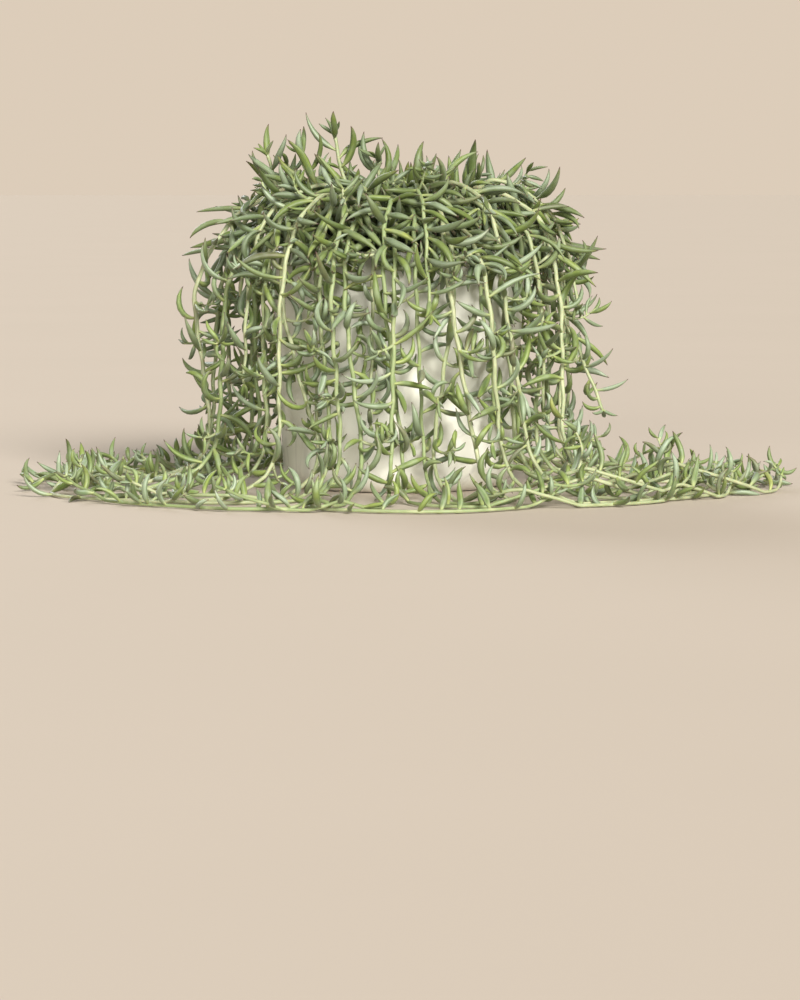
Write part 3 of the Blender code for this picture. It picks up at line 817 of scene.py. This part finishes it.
def add_leaf(build, leaf):
    """A leaf: a thin stalk, a full, slightly flattened blade that bends in one plane, and a fine point."""
    share = np.linspace(0.0, 1.0, LEAF_FINE + 1)
    path = leaf_line(leaf.base, leaf.start, leaf.curl, leaf.length, leaf.bend, LEAF_FINE + 1)
    binormal = unit(np.cross(leaf.start, leaf.curl))
    wave = leaf.sway * leaf.length * np.sin(1.6 * math.pi * share + leaf.phase) * share
    path = path + np.outer(wave, binormal)
    centres = np.column_stack([np.interp(LEAF_SHARES, share, path[:, k]) for k in range(3)])
    angle = leaf.bend * LEAF_SHARES**LATE_BEND
    inward = np.outer(-np.sin(angle), leaf.start) + np.outer(np.cos(angle), leaf.curl)
    swelling = np.clip((LEAF_SHARES - 0.03) / leaf.neck, 0.0, 1.0)
    swelling = swelling * swelling * (3.0 - 2.0 * swelling)
    narrowing = 1.0 - np.clip((LEAF_SHARES - 0.48) / 0.52, 0.0, 1.0) ** leaf.fullness
    blade = leaf.stalk + (leaf.radius - leaf.stalk) * swelling
    blade = blade * narrowing + 0.00014
    blade = blade * (1.0 + 0.04 * np.sin(9.0 * LEAF_SHARES + leaf.phase))
    around = math.pi / 2 + TURN * np.arange(LEAF_SIDES) / LEAF_SIDES
    wide = 1.06 * np.cos(around)
    # The inner side, towards the bend, is flatter than the back.
    deep = np.where(np.sin(around) > 0.0, 0.80, 0.98) * np.sin(around)
    rings = (
        centres[:, None]
        + blade[:, None, None] * wide[None, :, None] * binormal[None, None]
        + blade[:, None, None] * deep[None, :, None] * inward[:, None]
    )
    values = np.empty((len(LEAF_SHARES), LEAF_SIDES, 4))
    values[..., 0] = LEAF_SHARES[:, None]
    values[..., 1] = (0.5 + 0.5 * np.sin(around))[None]
    values[..., 2] = leaf.tone
    values[..., 3] = leaf.shade
    rings[..., 2] = np.maximum(rings[..., 2], SURFACE)
    if np.dot(np.cross(binormal, inward[5]), centres[6] - centres[5]) < 0:
        rings, values = rings[:, ::-1], values[:, ::-1]
    build.loft(rings, values, LEAF_SHARES * leaf.length * 100, 1)


def add_twig(build, twig, draw):
    """A stem: a ribbed tube that swells a little where its leaves grow."""
    length = np.linalg.norm(np.diff(twig.line, axis=0), axis=1).sum()
    count = max(6, round(length / STEM_STEP))
    share = np.linspace(0.0, 1.0, count)
    here = share * (len(twig.line) - 1)
    path = rounded(twig.line, here)
    along = tangents(path)
    radii = np.interp(here, np.arange(len(twig.line)), twig.radii)
    walked = share * length
    waves = np.stack([np.sin(TURN * (walked / wave + draw.random())) for wave in WAVES], axis=1)
    lying = np.clip((path[:, 2] - LOW) / LOW, 0.0, 1.0) * np.clip(walked / 0.03, 0.0, 1.0)
    path = path + STEM_WAVE * waves * lying[:, None]
    swell = np.zeros(count)
    for node in twig.nodes:
        swell += 0.14 * np.exp(-(((here - node) * STEP / 0.0012) ** 2))
    radii = radii * (1.0 + np.minimum(swell, 0.18))
    across = unit(np.cross(along[0], UP if abs(along[0][2]) < 0.9 else RIGHT))
    around = TURN * np.arange(STEM_SIDES) / STEM_SIDES
    ribs = 1.0 + 0.05 * np.cos(4 * around)
    rings = np.empty((count, STEM_SIDES, 3))
    for n in range(count):
        across = square_to(across, along[n])
        over = np.cross(along[n], across)
        circle = np.outer(np.cos(around) * ribs, across) + np.outer(np.sin(around) * ribs, over)
        rings[n] = path[n] + radii[n] * circle
    rings[..., 2] = np.maximum(rings[..., 2], SURFACE)
    values = np.zeros((count, STEM_SIDES, 4))
    values[..., 0] = share[:, None] if twig.rooted else 0.8
    values[..., 1] = ribs[None] * 0.5
    values[..., 2] = draw.random()
    build.loft(rings, values, share * length * 100, 0)


def rounded(line, places):
    """Points on a smooth curve through a line's points, at fractions of the way between them."""
    low = np.clip(np.floor(places).astype(int), 0, len(line) - 2)
    t = (places - low)[:, None]
    a, b = line[np.clip(low - 1, 0, None)], line[low]
    c, d = line[low + 1], line[np.clip(low + 2, None, len(line) - 1)]
    return 0.5 * (2 * b + (c - a) * t + (2 * a - 5 * b + 4 * c - d) * t**2 + (3 * (b - c) + d - a) * t**3)


# ---- Materials ----
class Nodes:
    """Short ways to build a material's nodes."""

    def __init__(self, name):
        self.material = bpy.data.materials.new(name)
        self.material.use_nodes = True
        self.tree = self.material.node_tree
        self.shader = self.tree.nodes["Principled BSDF"]

    def put(self, socket, value):
        if isinstance(value, bpy.types.NodeSocket):
            self.tree.links.new(value, socket)
        else:
            socket.default_value = value

    def set(self, **values):
        for name, value in values.items():
            self.put(self.shader.inputs[name.replace("_", " ")], value)

    def node(self, kind, inputs=(), **settings):
        made = self.tree.nodes.new("ShaderNode" + kind)
        for name, value in settings.items():
            setattr(made, name, value)
        for name, value in dict(inputs).items():
            self.put(made.inputs[name], value)
        return made

    def maths(self, operation, first, second=0.0):
        made = self.node("Math", operation=operation)
        self.put(made.inputs[0], first)
        self.put(made.inputs[1], second)
        return made.outputs[0]

    def times(self, first, second):
        return self.maths("MULTIPLY", first, second)

    def left_of_one(self, value):
        return self.maths("SUBTRACT", 1.0, value)

    def between(self, value, low, high):
        """0 below low, 1 above high, and smooth between them."""
        made = self.node("MapRange", {"Value": value, "From Min": low, "From Max": high})
        made.interpolation_type = "SMOOTHSTEP"
        return made.outputs["Result"]

    def mix(self, share, first, second):
        made = self.node("Mix", data_type="RGBA")
        self.put(made.inputs["Factor"], share)
        self.put(made.inputs["A"], first if isinstance(first, bpy.types.NodeSocket) else (*first, 1.0))
        self.put(made.inputs["B"], second if isinstance(second, bpy.types.NodeSocket) else (*second, 1.0))
        return made.outputs["Result"]

    def tint(self, colour, mask, strength, other):
        """The colour, turned by a strength towards another where the mask is 1."""
        return self.mix(self.times(mask, strength), colour, other)

    def stored(self, name):
        """An attribute that Build stores with the mesh."""
        return self.node("Attribute", attribute_name=name, attribute_type="GEOMETRY").outputs

    def growth(self):
        """The three growth values: how far along, how far to the inner side, and the tone."""
        parts = self.node("SeparateColor", {"Color": self.stored("growth")["Color"]})
        return [parts.outputs[name] for name in ("Red", "Green", "Blue")]

    def fibres(self, across, detail):
        """Fine lines along a leaf or stem."""
        return self.noise(1.0, detail, self.stretched(self.node("UVMap").outputs["UV"], across))

    def noise(self, scale, detail=3.0, vector=None, roughness=0.5):
        inputs = {"Scale": scale, "Detail": detail, "Roughness": roughness}
        if vector is not None:
            inputs["Vector"] = vector
        return self.node("TexNoise", inputs).outputs["Fac"]

    def place(self):
        return self.node("TexCoord").outputs["Object"]

    def stretched(self, source, scale):
        return self.node("Mapping", {"Vector": source, "Scale": scale}).outputs["Vector"]

    def bump(self, height, strength, distance):
        made = self.node("Bump", {"Height": height, "Strength": strength, "Distance": distance})
        self.put(self.shader.inputs["Normal"], made.outputs["Normal"])

    def ramp(self, value, stops):
        made = self.node("ValToRGB", {"Fac": value})
        elements = made.color_ramp.elements
        while len(elements) < len(stops):
            elements.new(0.5)
        for element, (position, colour) in zip(elements, stops):
            element.position = position
            element.color = (*colour, 1.0)
        return made.outputs["Color"]


# Leaf colours from yellow-green through grass green, with a few dry ones, to grey-blue, by a leaf's tone.
LEAF_TONES = [
    (0.00, (0.42, 0.44, 0.13)),
    (0.02, (0.30, 0.38, 0.10)),
    (0.18, (0.25, 0.33, 0.09)),
    (0.36, (0.21, 0.275, 0.095)),
    (0.56, (0.26, 0.32, 0.155)),
    (0.60, (0.20, 0.175, 0.11)),
    (0.64, (0.27, 0.345, 0.205)),
    (0.84, (0.335, 0.415, 0.295)),
    (1.00, (0.46, 0.54, 0.41)),
]


def leaf_material():
    """Waxy leaves with painted shade on their downward faces, along their sides and deep in the crown;
    yellower at the stalk, brown at the very tip.
    """
    n = Nodes("succulent_leaf")
    along, inner, tone = n.growth()
    body = n.ramp(tone, LEAF_TONES)
    bloom = n.noise(120.0, 3.0, n.place())
    body = n.tint(body, n.between(bloom, 0.42, 0.68), 0.38, (0.43, 0.52, 0.41))
    lines = n.fibres((22.0, 1.6, 1.0), 2.0)
    body = n.tint(body, n.between(lines, 0.45, 0.70), 0.40, (0.12, 0.18, 0.06))
    face = n.maths("ABSOLUTE", n.maths("SUBTRACT", n.times(inner, 2.0), 1.0))
    # painted shade: each leaf is darker along its two sides, where its round body turns away from the light
    edge = n.left_of_one(n.between(face, 0.05, 0.75))
    body = n.tint(body, edge, 0.42, (0.11, 0.17, 0.06))
    window = n.times(n.between(inner, 0.86, 0.995), n.between(along, 0.12, 0.28))
    window = n.times(window, n.left_of_one(n.between(along, 0.82, 0.95)))
    body = n.tint(body, window, 0.55, (0.10, 0.18, 0.04))
    stalk = n.left_of_one(n.between(along, 0.02, 0.30))
    body = n.tint(body, stalk, 0.72, (0.50, 0.56, 0.22))
    # painted shade: faces that turn downwards are darkened and tops are left lighter, as light falling from
    # above would do
    upwards = n.node("SeparateXYZ", {"Vector": n.node("NewGeometry").outputs["Normal"]}).outputs["Z"]
    painted_underside_shade = n.left_of_one(n.between(upwards, -0.75, 0.40))
    body = n.tint(body, painted_underside_shade, 0.56, (0.070, 0.092, 0.018))
    # painted shade: leaves in the crown, and most of all deep inside it, are darkened towards a deep green
    body = n.mix(n.stored("shade")["Fac"], body, (0.040, 0.060, 0.008))
    body = n.tint(body, n.between(along, 0.80, 0.97), 0.45, (0.16, 0.12, 0.08))
    body = n.mix(n.between(along, 0.935, 0.98), body, (0.085, 0.045, 0.035))
    n.set(Base_Color=body, Roughness=n.maths("ADD", n.times(bloom, 0.24), 0.36))
    n.set(Subsurface_Weight=0.12, Subsurface_Scale=0.0012, Specular_IOR_Level=0.40)
    n.set(Subsurface_Radius=(0.8, 1.0, 0.35), Sheen_Weight=0.10, Sheen_Roughness=0.4)
    n.bump(n.maths("ADD", n.times(lines, 0.6), bloom), 0.35, 0.0002)
    return n.material


def stem_material():
    """Pale to leaf-green stems, browner and drier towards the root, with fine lines along them."""
    n = Nodes("succulent_stem")
    along, _, tone = n.growth()
    fresh = n.mix(tone, (0.50, 0.53, 0.34), (0.26, 0.34, 0.15))
    lines = n.fibres((14.0, 1.5, 1.0), 3.0)
    fresh = n.tint(fresh, n.between(lines, 0.40, 0.68), 0.70, (0.22, 0.28, 0.11))
    patches = n.noise(90.0, 3.0, n.place())
    fresh = n.tint(fresh, n.between(patches, 0.52, 0.72), 0.5, (0.56, 0.59, 0.36))
    dry = n.mix(lines, (0.22, 0.15, 0.09), (0.40, 0.32, 0.20))
    age = n.left_of_one(n.between(n.maths("ADD", along, n.times(tone, 0.10)), 0.04, 0.24))
    n.set(Base_Color=n.tint(fresh, age, 0.8, dry), Roughness=0.52)
    n.set(Subsurface_Weight=0.10, Subsurface_Scale=0.0010, Specular_IOR_Level=0.4)
    n.bump(n.maths("ADD", lines, n.times(patches, 0.5)), 0.5, 0.0002)
    return n.material


def glaze_material():
    """Warm white glaze with faint grey clouds and veins, and a few iron specks."""
    n = Nodes("cloudy_white_glaze")
    place = n.place()
    clouds = n.noise(16.0, 4.0, place, 0.55)
    wide = n.noise(6.0, 2.0, place)
    veins = {"Vector": place, "Scale": 11.0, "Detail": 5.0, "Distortion": 1.6}
    veins = n.maths("SUBTRACT", n.node("TexNoise", veins).outputs["Fac"], 0.5)
    vein = n.left_of_one(n.between(n.maths("ABSOLUTE", veins), 0.0, 0.045))
    specks = n.node("TexVoronoi", {"Vector": place, "Scale": 130.0}).outputs["Distance"]
    colour = n.mix(n.between(clouds, 0.35, 0.70), (0.885, 0.885, 0.80), (0.795, 0.79, 0.71))
    colour = n.tint(colour, n.between(wide, 0.45, 0.7), 0.5, (0.91, 0.905, 0.81))
    colour = n.tint(colour, vein, 0.26, (0.50, 0.49, 0.46))
    speck = n.left_of_one(n.between(specks, 0.03, 0.07))
    colour = n.tint(colour, speck, 0.18, (0.32, 0.26, 0.18))
    n.set(Base_Color=colour, Roughness=n.maths("ADD", n.times(clouds, 0.18), 0.18))
    n.set(Specular_IOR_Level=0.42, Coat_Weight=0.25, Coat_Roughness=0.12)
    n.bump(n.maths("ADD", wide, n.times(clouds, 0.3)), 0.22, 0.0014)
    return n.material


SOIL_TONES = [(0.25, (0.012, 0.008, 0.005)), (0.55, (0.045, 0.028, 0.016)), (0.8, (0.13, 0.085, 0.05))]


def soil_material():
    """Dark, crumbly potting soil."""
    n = Nodes("moist_potting_soil")
    place = n.place()
    crumbs = n.noise(420.0, 6.0, place, 0.65)
    colour = n.tint(n.ramp(crumbs, SOIL_TONES), n.noise(60.0, 2.0, place), 0.5, (0.020, 0.013, 0.009))
    n.set(Base_Color=colour, Roughness=0.92, Specular_IOR_Level=0.25)
    n.bump(crumbs, 0.9, 0.0009)
    return n.material


GRAIN_TONES = [
    (0.0, (0.05, 0.03, 0.018)),
    (0.6, (0.14, 0.085, 0.045)),
    (0.85, (0.30, 0.21, 0.12)),
    (0.9, (0.70, 0.67, 0.60)),
]


def grain_material():
    """Bits of bark, straw and pale perlite among the soil, one colour to a grain."""
    n = Nodes("soil_grains")
    rough = n.noise(700.0, 3.0, n.place())
    n.set(Base_Color=n.tint(n.ramp(n.growth()[0], GRAIN_TONES), rough, 0.4, (0.03, 0.02, 0.012)))
    n.set(Roughness=0.9)
    n.bump(rough, 0.6, 0.0004)
    return n.material


# ---- The pot and the soil ----
POT_SEGMENTS = 144
SOIL_SEGMENTS = 180
SOIL_RINGS = 60
GRAINS = 620


def lathe(name, profile, segments, material):
    """A fine solid of revolution whose profile starts and ends on the axis."""
    rings = profile[1:-1]
    places = range(segments)
    around = [TURN * k / segments for k in places]
    vertices = [polar(radius, angle, height) for radius, height in rings for angle in around]
    vertices = [(0.0, 0.0, profile[0][1]), *map(tuple, vertices), (0.0, 0.0, profile[-1][1])]
    after = [(k + 1) % segments for k in places]
    faces = [(0, 1 + k, 1 + after[k]) for k in places]
    for n in range(len(rings) - 1):
        one, two = 1 + n * segments, 1 + (n + 1) * segments
        faces += [(one + after[k], one + k, two + k, two + after[k]) for k in places]
    last = 1 + (len(rings) - 1) * segments
    faces += [(last + after[k], last + k, len(vertices) - 1) for k in places]
    mesh = bpy.data.meshes.new(name)
    mesh.from_pydata(vertices, [], faces)
    shape = bmesh.new()
    shape.from_mesh(mesh)
    bmesh.ops.recalc_face_normals(shape, faces=shape.faces)
    shape.to_mesh(mesh)
    shape.free()
    mesh.materials.append(material)
    mesh.shade_smooth()
    return add_object(name, mesh)


def corner(centre_radius, centre_height, radius, first, last, count):
    """Points of a profile round an arc, between two angles."""
    return [
        (centre_radius + radius * math.cos(a), centre_height + radius * math.sin(a))
        for a in np.linspace(first, last, count)
    ]


def straight(first, last, count):
    """Points between two ends of a profile's straight stretch, without the ends."""
    shares = np.linspace(0, 1, count + 2)[1:-1]
    return [tuple(np.array(first) * (1 - t) + np.array(last) * t) for t in shares]


def make_pot():
    """The glazed pot, with a fuller rounding of its rim and bottom edge than its CAD node has."""
    lip = 0.5 * POT_WALL
    inner_round = POT_EDGE_ROUND - POT_WALL
    inner_edge = inner_radius(POT_FLOOR + inner_round) - inner_round
    foot_edge = POT_FOOT_RADIUS - POT_EDGE_ROUND
    quarter = math.pi / 2
    inside = corner(inner_edge, POT_FLOOR + inner_round, inner_round, -quarter, 0.0, 7)
    rim = corner(POT_RIM_RADIUS - lip, POT_HEIGHT - lip, lip, 2 * quarter, 0.0, 13)
    foot = corner(foot_edge, POT_EDGE_ROUND, POT_EDGE_ROUND, 0.0, -quarter, 13)
    floor = [(r, POT_FLOOR) for r in np.linspace(0.0, inside[0][0], 8)[1:-1]]
    base = [(r, 0.0) for r in np.linspace(foot[-1][0], 0.0, 8)[1:-1]]
    walls = straight(inside[-1], rim[0], 20), straight(rim[-1], foot[0], 26)
    profile = [(0.0, POT_FLOOR), *floor, *inside, *walls[0], *rim, *walls[1], *foot, *base, (0.0, 0.0)]
    pot = lathe("glazed_pot", profile, POT_SEGMENTS, glaze_material())
    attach(pot, "root")
    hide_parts("ceramic_pot")


def make_soil():
    """The soil, crumbly on top, and the grains that lie on it."""
    low = POT_FLOOR + GAP
    inner_round = POT_EDGE_ROUND - POT_WALL
    inner_edge = inner_radius(POT_FLOOR + inner_round) - GAP - inner_round
    dome = [(r, soil_height(r)) for r in np.linspace(0.0, 0.985 * MOUTH_RADIUS, SOIL_RINGS)]
    edge = (inner_radius(SOIL_TOP - SOIL_EDGE) - GAP, SOIL_TOP - SOIL_EDGE)
    bend = corner(inner_edge, low + inner_round, inner_round, 0.0, -math.pi / 2, 5)
    profile = [*dome, edge, *straight(edge, bend[0], 4), *bend, (0.0, low)]
    soil = lathe("crumbly_soil", profile, SOIL_SEGMENTS, soil_material())
    for vertex in soil.data.vertices:
        x, y, z = vertex.co
        if z > SOIL_TOP - 0.5 * SOIL_EDGE and math.hypot(x, y) < 0.97 * MOUTH_RADIUS:
            lumps = fractal((x * 90, y * 90, 0.3), 1.0, 2.0, 4)
            crumbs = fractal((x * 420, y * 420, 5.0), 0.8, 2.0, 3)
            vertex.co.z += 0.0016 * lumps + 0.0007 * crumbs - 0.0008
    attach(soil, "root")
    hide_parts("potting_soil")

    draw = random.Random(4)
    build = Build()
    for _ in range(GRAINS):
        radius, angle = 0.95 * MOUTH_RADIUS * math.sqrt(draw.random()), draw.uniform(0.0, TURN)
        centre = polar(radius, angle, soil_height(radius) + draw.uniform(-0.0003, 0.0006))
        tone = draw.random()
        size = draw.uniform(0.0006, 0.0017)
        stretch = draw.uniform(1.0, 3.2) if 0.6 < tone < 0.86 else draw.uniform(0.8, 1.4)
        forward = unit(polar(1.0, draw.uniform(0.0, TURN), draw.uniform(-0.25, 0.25)))
        across = unit(np.cross(forward, UP))
        over = np.cross(across, forward)
        rings = []
        for share in (-1.0, -0.55, 0.2, 0.8, 1.0):
            girth = size * math.sqrt(max(0.04, 1.0 - share * share)) * draw.uniform(0.8, 1.15)
            around = TURN * (np.arange(6) + draw.uniform(-0.15, 0.15)) / 6
            circle = np.outer(np.cos(around), across) + np.outer(0.75 * np.sin(around), over)
            rings.append(centre + share * size * stretch * forward + girth * circle)
        values = np.ones((5, 6, 4)) * tone
        build.loft(np.array(rings)[:, ::-1], values, np.linspace(0, 1, 5), 0)
    grains = build.finish("soil_grains", [grain_material()])
    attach(grains, "root")


# ---- Floor, light and camera ----
FLOOR_REACH = 40.0
FLOOR_COLOURS = (0.635, 0.555, 0.480), (0.660, 0.575, 0.500)
FILL_STRENGTH = 0.18
FILL_COLOUR = (1.0, 0.94, 0.75, 1.0)
WALL_COLOUR = (0.72, 0.61, 0.49, 1.0)
# Each far, soft light's azimuth, from the front to the right, and elevation in degrees; then its strength,
# the angle that it shines from and its colour.
SUNS = {
    "key": (21.0, 27.0, 5.0, 0.38, (1.0, 0.965, 0.90)),
    "front_fill": (-16.0, 9.0, 1.0, 0.40, (1.0, 0.97, 0.93)),
    "back_light": (208.0, 24.0, 1.15, 0.40, (0.96, 0.98, 1.0)),
}


def make_stage():
    """The plain floor, wide enough that its far edge is out of sight."""
    mesh = bpy.data.meshes.new("studio_floor")
    corners = [(x, y, 0.0) for x, y in ((-1, -1), (1, -1), (1, 1), (-1, 1))]
    mesh.from_pydata([(FLOOR_REACH * x, FLOOR_REACH * y, z) for x, y, z in corners], [], [(0, 1, 2, 3)])
    n = Nodes("pale_floor")
    n.set(Base_Color=n.mix(n.noise(3.0, 3.0, n.place()), *FLOOR_COLOURS), Roughness=0.85)
    n.set(Specular_IOR_Level=0.2)
    mesh.materials.append(n.material)
    add_object("studio_floor", mesh)


def make_light():
    """The suns, and a world that fills the shadows and shows itself as a plain pale wall."""
    for name, (azimuth, elevation, strength, angle, colour) in SUNS.items():
        light = bpy.data.lights.new(name, "SUN")
        light.energy, light.angle, light.color = strength, angle, colour
        a, e = math.radians(azimuth), math.radians(elevation)
        towards = Vector((math.sin(a) * math.cos(e), -math.cos(a) * math.cos(e), math.sin(e)))
        add_object(name, light).rotation_euler = towards.to_track_quat("Z", "Y").to_euler()
    world = bpy.data.worlds.new("studio")
    world.use_nodes = True
    nodes, links = world.node_tree.nodes, world.node_tree.links
    fill, seen = nodes["Background"], nodes.new("ShaderNodeBackground")
    fill.inputs["Color"].default_value = FILL_COLOUR
    fill.inputs["Strength"].default_value = FILL_STRENGTH
    seen.inputs["Color"].default_value = WALL_COLOUR
    mix = nodes.new("ShaderNodeMixShader")
    links.new(nodes.new("ShaderNodeLightPath").outputs["Is Camera Ray"], mix.inputs["Fac"])
    links.new(fill.outputs["Background"], mix.inputs[1])
    links.new(seen.outputs["Background"], mix.inputs[2])
    links.new(mix.outputs["Shader"], nodes["World Output"].inputs["Surface"])
    bpy.context.scene.world = world


CAMERA_DISTANCE = 2.2
CAMERA_ELEVATION = math.radians(5.0)
CAMERA_TARGET = Vector((0.001, 0.0, -0.009))
FRAME_HEIGHT = 0.60  # what the frame spans at the pot, from bottom to top
SENSOR = 36.0  # in millimetres


def make_camera():
    camera = bpy.data.cameras.new("camera")
    camera.sensor_width = SENSOR
    camera.lens = SENSOR * CAMERA_DISTANCE / FRAME_HEIGHT
    camera.clip_start, camera.clip_end = 0.05, 200.0
    mount = add_object("camera", camera)
    back = Vector((0.0, -math.cos(CAMERA_ELEVATION), math.sin(CAMERA_ELEVATION)))
    mount.location = CAMERA_TARGET + CAMERA_DISTANCE * back
    mount.rotation_euler = (-back).to_track_quat("-Z", "Y").to_euler()
    bpy.context.scene.camera = mount


# ---- The whole ----
def make_strands():
    """Every strand and shoot with all its leaves, in place of its CAD node."""
    balls = Balls()
    strands = trailing_strands(balls) + shoot_strands(balls)
    counts = [LEAVES_ON_STRAND] * TRAILING_STRANDS + [LEAVES_ON_SHOOT] * len(SHOOT_TIPS)
    cad_leaves = grow_leaves(strands, counts)
    crowd = Crowd(strands)
    for number, grown in enumerate(cad_leaves):
        for place, start, curl, length, radius, bend, stalk in grown:
            points = leaf_line(strands[number][place], start, curl, length, bend, LEAF_BALLS)[1:]
            crowd.add(points, leaf_radii(LEAF_BALLS, radius, stalk)[1:], (number, "leaf"))
    crowd.settle()
    materials = [stem_material(), leaf_material()]
    for number, line in enumerate(strands):
        twigs, leaves = grow_strand(line, number, cad_leaves[number], crowd)
        draw = random.Random(number)
        build = Build()
        for twig in twigs:
            add_twig(build, twig, draw)
        for leaf in leaves:
            add_leaf(build, leaf)
        name = strand_name(number)
        piece = build.finish(name + "_foliage", materials)
        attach(piece, "root")
        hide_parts(name)


bpy.context.scene.view_settings.view_transform = "Standard"
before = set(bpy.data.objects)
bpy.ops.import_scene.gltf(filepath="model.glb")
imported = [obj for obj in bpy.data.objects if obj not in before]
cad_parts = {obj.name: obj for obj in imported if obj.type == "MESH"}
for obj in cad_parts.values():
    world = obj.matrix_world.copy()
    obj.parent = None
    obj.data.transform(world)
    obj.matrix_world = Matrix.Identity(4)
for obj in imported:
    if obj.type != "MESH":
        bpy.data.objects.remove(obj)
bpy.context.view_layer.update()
make_pot()
make_soil()
make_strands()
make_stage()
make_light()
make_camera()
